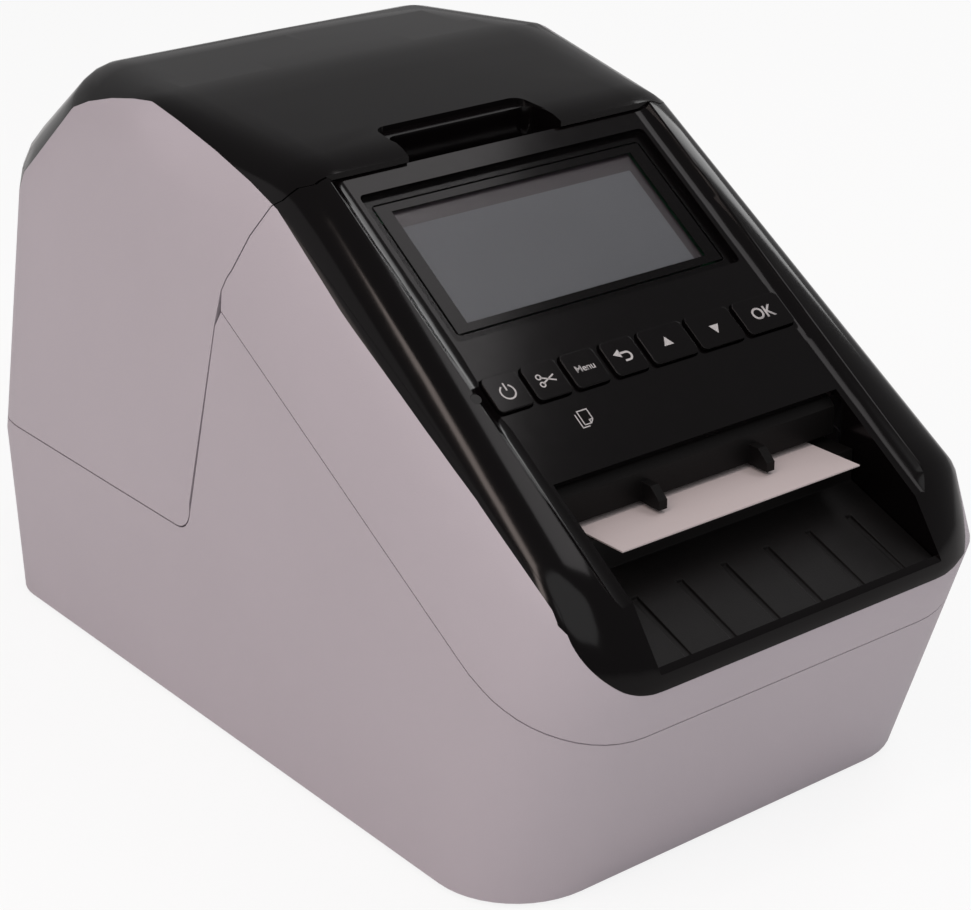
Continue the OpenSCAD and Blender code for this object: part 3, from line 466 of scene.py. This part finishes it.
def soften(node_name, piece_name, radius, segments=2, cuts=()):
    piece = copy_of(node_name)
    piece.name = piece_name
    only(piece)
    bpy.ops.object.mode_set(mode="EDIT")
    bpy.ops.mesh.select_all(action="SELECT")
    bpy.ops.mesh.remove_doubles(threshold=SAME_POINT)
    bpy.ops.mesh.dissolve_limited(angle_limit=FLAT_ANGLE)
    bpy.ops.object.mode_set(mode="OBJECT")
    bevel = piece.modifiers.new("edges", "BEVEL")
    bevel.width = radius * MM
    bevel.segments = segments
    bevel.limit_method = "ANGLE"
    bevel.angle_limit = EDGE_ANGLE
    bpy.ops.object.modifier_apply(modifier="edges")
    if node_name in OUTER:
        bpy.ops.object.mode_set(mode="EDIT")
        slice_up(PIECE_CUTS)
        for point, normal in cuts:
            bpy.ops.mesh.select_all(action="SELECT")
            bpy.ops.mesh.bisect(plane_co=point, plane_no=normal)
        bpy.ops.object.mode_set(mode="OBJECT")
    shade(piece)
    weights = piece.modifiers.new("weights", "WEIGHTED_NORMAL")
    weights.keep_sharp = True
    bpy.ops.object.modifier_apply(modifier="weights")
    if node_name in OUTER:
        follow_form(piece)
    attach(piece, body_of_node[node_name])
    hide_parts(node_name)
    print(piece_name, "has", len(piece.data.polygons), "faces")
    return piece


# %% [markdown]
# In the photograph the black reaches about a millimetre further out than the seam of the CAD. So
# the copy of the white frame is cut along a strip of that width on both sides of the slope, which
# tapers at its top and foot, and the faces inside the cuts take the gloss black.

# %% Cuts for the black rim of the white frame
RIM_HALF = 55.4 * MM
RIM_FRONT = -107.6 * MM
RIM_FOOT = 66 * MM
LOW_END, LOW_TAPER = -104.7 * MM, 0.6
TOP_END, TOP_TAPER = -37 * MM, 0.04
rim_cuts = [((0, RIM_FRONT, 0), (0, 1, 0))]
for side in (-1, 1):
    rim_cuts += [((side * RIM_HALF, 0, 0), (1, 0, 0)),
                 ((side * RIM_HALF, LOW_END, 0), (side, -LOW_TAPER, 0)),
                 ((side * RIM_HALF, TOP_END, 0), (side, TOP_TAPER, 0))]
print("cuts for the rim:", len(rim_cuts))

# %% Soften the outer mouldings, the keys and the tray
soften("lower_case", "case_tub", 0.25)
white_frame = soften("front_bezel", "white_frame", 0.25, cuts=rim_cuts)
white_frame.data.materials.append(finishes["gloss_black"])
for face in white_frame.data.polygons:
    x, y, z = face.center
    reach = RIM_HALF + min(0, (y - LOW_END) * LOW_TAPER, (TOP_END - y) * TOP_TAPER)
    if y > RIM_FRONT and z > RIM_FOOT and abs(x) < reach:
        face.material_index = 1
soften("front_panel", "black_front", 0.3)
soften("cover_shell", "cover_sides", 0.25)
soften("cover_top", "cover_skin", 0.3)
soften("display_lens", "display_glass", 0.12)
soften("output_tray", "label_tray", 0.2)
soften("exit_guide", "label_guide", 0.25)
soften("label_roll", "paper_roll", 0.2)
for key_name in ["power", "cut", "menu", "back", "up", "down", "ok"]:
    soften(key_name + "_key", key_name + "_cap", 0.22, segments=3)

# %% [markdown]
# ## The sloping front
#
# The display and the keys lie on a slope of about 35 degrees. It is easier to draw on a flat
# sheet and then lay the sheet on the slope, so one matrix does that: x stays, v runs up the
# slope, and z stands on it.

# %% Lay a flat drawing on the slope
SLOPE = math.radians(34.7911)
SLOPE_TOP = Vector((0, -17.135, 136.864)) * MM
to_slope = Matrix.Translation(SLOPE_TOP) @ Matrix.Rotation(SLOPE, 4, "X")


def settle(piece, name, body, finish):
    piece.name = name
    only(piece)
    bpy.ops.object.transform_apply(location=True, rotation=True, scale=True)
    dress(piece, finishes[finish])
    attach(piece, body)
    print(name, "rides on", body)
    return piece


def lay(piece, x, v, z):
    piece.matrix_world = to_slope @ Matrix.Translation(Vector((x, v, z)) * MM) @ piece.matrix_world


# %% Join flat pieces and give them the thickness of a print
PRINT_DEPTH = 0.05


def thicken(parts, depth=PRINT_DEPTH):
    bpy.ops.object.select_all(action="DESELECT")
    for part in parts:
        part.select_set(True)
    bpy.context.view_layer.objects.active = parts[0]
    if len(parts) > 1:
        bpy.ops.object.join()
    piece = bpy.context.object
    bpy.ops.object.transform_apply(location=True, rotation=True, scale=True)
    bpy.ops.object.mode_set(mode="EDIT")
    bpy.ops.mesh.select_all(action="SELECT")
    bpy.ops.mesh.extrude_region_move(TRANSFORM_OT_translate={"value": (0, 0, depth * MM)})
    bpy.ops.mesh.select_all(action="SELECT")
    bpy.ops.mesh.normals_make_consistent(inside=False)
    bpy.ops.object.mode_set(mode="OBJECT")
    return piece


# %% Flat shapes that the symbols are made of
RING_CORNERS = 48
WORD_WEIGHT = 0.015


def bar(x0, x1, y0, y1, turn=0):
    bpy.ops.mesh.primitive_plane_add(size=MM, location=((x0 + x1) / 2 * MM, (y0 + y1) / 2 * MM, 0))
    piece = bpy.context.object
    piece.scale = (x1 - x0, y1 - y0, 1)
    piece.rotation_euler = (0, 0, math.radians(turn))
    only(piece)
    bpy.ops.object.transform_apply(location=False, rotation=True, scale=True)
    return piece


def triangle(radius, x, y, turn):
    bpy.ops.mesh.primitive_circle_add(vertices=3, radius=radius * MM, fill_type="NGON",
                                      location=(x * MM, y * MM, 0),
                                      rotation=(0, 0, math.radians(turn)))
    piece = bpy.context.object
    only(piece)
    bpy.ops.object.transform_apply(location=False, rotation=True, scale=True)
    return piece


def ring(radius, stroke, x, y, keep=lambda angle: True):
    bpy.ops.mesh.primitive_circle_add(vertices=RING_CORNERS, radius=radius * MM,
                                      fill_type="NOTHING")
    piece = bpy.context.object
    inner = (radius - stroke) / radius
    bpy.ops.object.mode_set(mode="EDIT")
    bpy.ops.mesh.select_all(action="SELECT")
    bpy.ops.mesh.extrude_edges_move()
    bpy.ops.transform.resize(value=(inner, inner, 1))
    bpy.ops.mesh.select_mode(type="FACE")
    bpy.ops.mesh.select_all(action="DESELECT")
    bpy.ops.object.mode_set(mode="OBJECT")
    for face in piece.data.polygons:
        face.select = not keep(math.degrees(math.atan2(face.center.y, face.center.x)))
    bpy.ops.object.mode_set(mode="EDIT")
    bpy.ops.mesh.delete(type="FACE")
    bpy.ops.object.mode_set(mode="OBJECT")
    piece.location = (x * MM, y * MM, 0)
    return piece


def word(text, size):
    bpy.ops.object.text_add()
    piece = bpy.context.object
    piece.data.body = text
    piece.data.size = size * MM
    piece.data.offset = WORD_WEIGHT * size * MM
    piece.data.align_x = "CENTER"
    piece.data.align_y = "CENTER"
    bpy.ops.object.convert(target="MESH")
    return bpy.context.object


# %% [markdown]
# ## Print on the keys
#
# Each key carries a white printed sign. A print is a film of ink with an edge, so each sign is a
# thin raised shape: a ring and a bar for power, crossed blades for cut, a bent arrow for back,
# triangles for up and down, and two generic words.

# %% A white ink
finishes["white_print"] = surface("white_print", (0.42, 0.4, 0.4), 0.45, 3000, 0.05, 0.03)

KEY_V = -59.79
KEY_TOP = -0.8
INK_BITE = 0.02
key_x = {"power": -36.2, "cut": -26.1, "menu": -15.9, "back": -5.3, "up": 6.7, "down": 20.2,
         "ok": 34.3}


def sign(key, parts):
    piece = thicken(parts)
    lay(piece, key_x[key], KEY_V, KEY_TOP - INK_BITE)
    return settle(piece, key + "_sign", key + "_button", "white_print")


# %% Power, cut and back
sign("power", [ring(1.9, 0.38, 0, -0.15, lambda angle: abs(angle - 90) > 27),
               bar(-0.19, 0.19, 0.2, 2.1)])
sign("cut", [bar(-1.5, 2.3, -0.17, 0.17, 24), bar(-1.5, 2.3, -0.17, 0.17, -24),
             ring(0.72, 0.3, -1.55, 0.95), ring(0.72, 0.3, -1.55, -0.95)])
sign("back", [triangle(1.25, -1.35, 0.75, 90), bar(-0.9, 0.7, 0.5, 1.0),
              ring(1.25, 0.5, 0.7, -0.25, lambda angle: abs(angle) < 90),
              bar(-0.4, 0.7, -1.5, -1.0)])

# %% Triangles and words
sign("up", [triangle(1.5, 0, 0, 0)])
sign("down", [triangle(1.5, 0, 0, 180)])
sign("menu", [word("Menu", 2.3)])
sign("ok", [word("OK", 4.2)])

# %% A two-page sign under the cut key
PANEL_TOP = -1.7
PAGE_X, PAGE_V = -23.0, -70.1
page = thicken([
    bar(-0.9, 1.9, 1.5, 1.75), bar(1.65, 1.9, -0.9, 1.6), bar(-0.9, 0.9, -1.9, -1.65),
    bar(-0.9, -0.65, -1.8, 1.6), bar(0.65, 2.05, -1.45, -1.22, 45), bar(0.75, 1.0, -1.7, -0.8),
    bar(0.8, 1.7, -1.0, -0.78), bar(-1.75, -1.5, -2.3, 1.1), bar(-1.75, 0.2, -2.45, -2.2),
])
lay(page, PAGE_X, PAGE_V, PANEL_TOP - INK_BITE)
settle(page, "two_page_sign", "case", "white_print")

# %% [markdown]
# ## The display
#
# The window is a clear plate printed black on its underside, apart from one opening. Under the
# opening lies the display itself: a bluish grey field with a darker rim at its top and right.
# A plate with a hole is made from a face: inset it, stretch the middle to the height of the
# opening, and delete it.

# %% The black mask under the window
LENS_V = -25.096
LENS_UNDER = -3.2
MASK_HALF_X, MASK_HALF_V = 36.5, 17.5
MASK_RIM = 3.5
OPENING_HEIGHT = 31
FILM = 0.1
MASK_BITE = 0.09

mask = bar(-MASK_HALF_X, MASK_HALF_X, LENS_V - MASK_HALF_V, LENS_V + MASK_HALF_V)
only(mask)
bpy.ops.object.mode_set(mode="EDIT")
bpy.ops.mesh.select_mode(type="FACE")
bpy.ops.mesh.select_all(action="SELECT")
bpy.ops.mesh.inset(thickness=MASK_RIM * MM)
bpy.ops.transform.resize(value=(1, OPENING_HEIGHT / (2 * (MASK_HALF_V - MASK_RIM)), 1))
bpy.ops.mesh.delete(type="FACE")
bpy.ops.object.mode_set(mode="OBJECT")
mask = thicken([mask], FILM)
lay(mask, 0, 0, LENS_UNDER - MASK_BITE)
settle(mask, "window_mask", "case", "gloss_black")

# %% The display field
finishes["display_field"] = surface("display_field", (0.1, 0.105, 0.118), 0.4, 1400, 0.02, 0.05)
DISPLAY_TOP = -4.1
FIELD_LEFT, FIELD_RIGHT = -32.9, 30.4
FIELD_LOW, FIELD_HIGH = LENS_V - 15.9, LENS_V + 11.4
field = thicken([bar(FIELD_LEFT, FIELD_RIGHT, FIELD_LOW, FIELD_HIGH)], FILM)
lay(field, 0, 0, DISPLAY_TOP)
settle(field, "display_field", "case", "display_field")

# %% [markdown]
# ## Sockets at the back
#
# A socket without its contacts looks like a hole. Each one gets them: two round pins in the power
# inlet, a tongue with four strips in each data port, and eight springy wires in the network port.

# %% A block with softened edges
def block(x0, x1, y0, y1, z0, z1, radius):
    bpy.ops.mesh.primitive_cube_add(
        size=MM, location=((x0 + x1) / 2 * MM, (y0 + y1) / 2 * MM, (z0 + z1) / 2 * MM))
    piece = bpy.context.object
    piece.scale = (x1 - x0, y1 - y0, z1 - z0)
    only(piece)
    bpy.ops.object.transform_apply(location=True, rotation=True, scale=True)
    bpy.ops.object.mode_set(mode="EDIT")
    bpy.ops.mesh.select_all(action="SELECT")
    bpy.ops.mesh.bevel(offset=radius * MM, segments=2, affect="EDGES")
    bpy.ops.object.mode_set(mode="OBJECT")
    return piece


def together(parts, name, finish):
    bpy.ops.object.select_all(action="DESELECT")
    for part in parts:
        part.select_set(True)
    bpy.context.view_layer.objects.active = parts[0]
    if len(parts) > 1:
        bpy.ops.object.join()
    piece = settle(bpy.context.object, name, "case", finish)
    shade(piece)
    return piece


# %% Power inlet pins
PIN_RADIUS, PIN_LENGTH, PIN_TIP = 1.15, 7, 0.4
PIN_MIDDLE, PIN_Z = 110.6, 14.4


def pin(x):
    bpy.ops.mesh.primitive_cylinder_add(vertices=24, radius=PIN_RADIUS * MM,
                                        depth=PIN_LENGTH * MM,
                                        location=(x * MM, PIN_MIDDLE * MM, PIN_Z * MM),
                                        rotation=(math.radians(-90), 0, 0))
    piece = bpy.context.object
    only(piece)
    bpy.ops.object.transform_apply(location=True, rotation=True, scale=True)
    bpy.ops.object.mode_set(mode="EDIT")
    bpy.ops.mesh.select_all(action="SELECT")
    bpy.ops.mesh.bevel(offset=PIN_TIP * MM, segments=3, affect="EDGES")
    bpy.ops.object.mode_set(mode="OBJECT")
    return piece


together([pin(-40), pin(-32)], "inlet_pins", "steel")

# %% Data ports and network port
BACK_OF_SOCKET = 107.5
STRIP_HALF, STRIP_EDGE = 0.5, 0.05
WIRE_HALF, WIRE_STEP, FIRST_WIRE = 0.2, 1.02, 10.4


def strip(x, half, front, low, high):
    return block(x - half, x + half, BACK_OF_SOCKET, front, low, high, STRIP_EDGE)


together([block(30.8, 37.2, BACK_OF_SOCKET, 113.6, 13, 16.6, 0.3)],
         "square_port_tongue", "spool_plastic")
together([strip(x, STRIP_HALF, 113.2, z, z + 0.25) for x in (32.4, 35.6) for z in (12.85, 16.5)],
         "square_port_strips", "brass")
together([block(-12.9, -3.1, BACK_OF_SOCKET, 114, 13.2, 14.8, 0.2)],
         "flat_port_tongue", "spool_plastic")
together([strip(x, STRIP_HALF, 113.6, 13.05, 13.3) for x in (-11.5, -9.2, -6.8, -4.5)],
         "flat_port_strips", "brass")
together([strip(FIRST_WIRE + WIRE_STEP * k, WIRE_HALF, 113.8, 18.9, 19.2) for k in range(8)],
         "network_wires", "brass")
